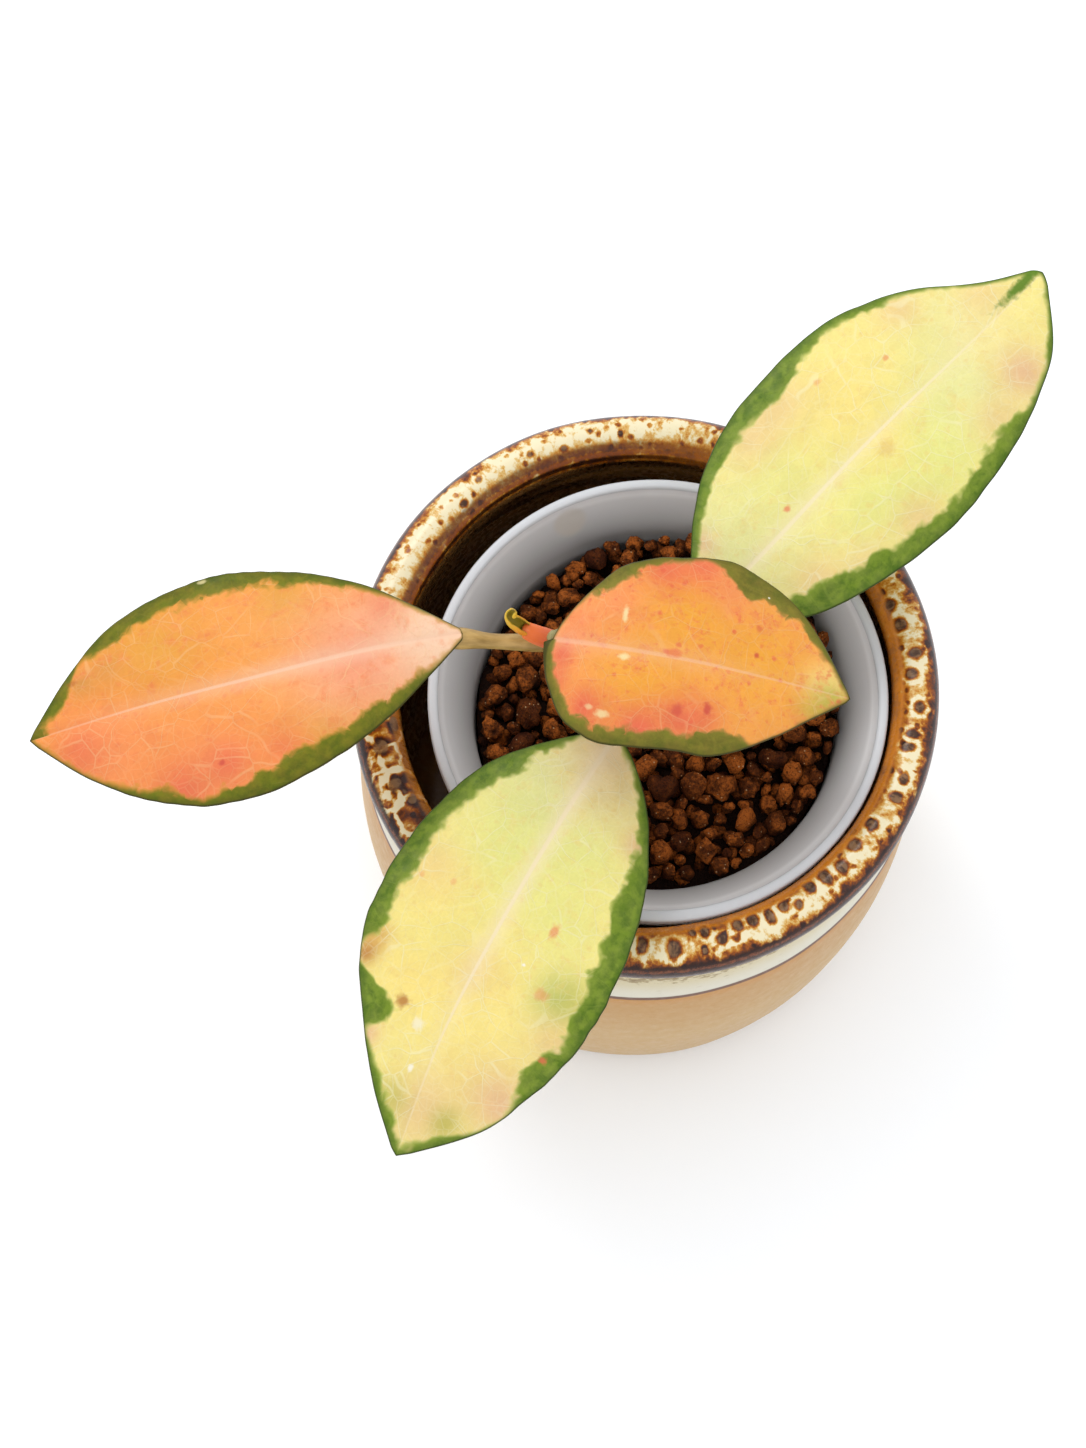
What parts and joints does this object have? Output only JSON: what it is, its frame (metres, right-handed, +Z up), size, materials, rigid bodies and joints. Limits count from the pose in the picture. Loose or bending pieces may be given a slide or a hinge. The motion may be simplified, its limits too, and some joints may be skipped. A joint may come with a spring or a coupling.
{
  "type": "potted hoya",
  "caption": "Variegated hoya cutting in a pale plastic nursery pot of clay granules, inside a glazed barrel-shaped stoneware cachepot.",
  "frame": {"origin": "centre of the cachepot's flat foot, on the surface that it stands on", "axes": "+Z up along the cachepot's axis, -Y towards the front, where the lowest leaf hangs out"},
  "size_m": [0.1919, 0.1756, 0.142],
  "materials": {
    "stoneware": "glossy mottled glaze on the rim, cream band, tan body",
    "plastic": "satin, slightly translucent",
    "baked_clay": "rough granules with small glossy specks",
    "stem": "smooth olive bark",
    "leaf_orange": "waxy, variegated orange with a green margin",
    "leaf_yellow": "waxy, variegated yellow-green with a green margin",
    "shoot_red": "satin young growth",
    "shoot_yellow": "satin young growth"
  },
  "bodies": {
    "root": {"cachepot": "stoneware", "nursery_pot": "plastic", "substrate": "baked_clay", "stem": "stem", "leaf_left": "leaf_orange", "leaf_centre": "leaf_orange", "leaf_back": "leaf_yellow", "leaf_front": "leaf_yellow", "shoot_stem": "shoot_red", "shoot_leaf": "shoot_yellow"}
  },
  "joints": []
}
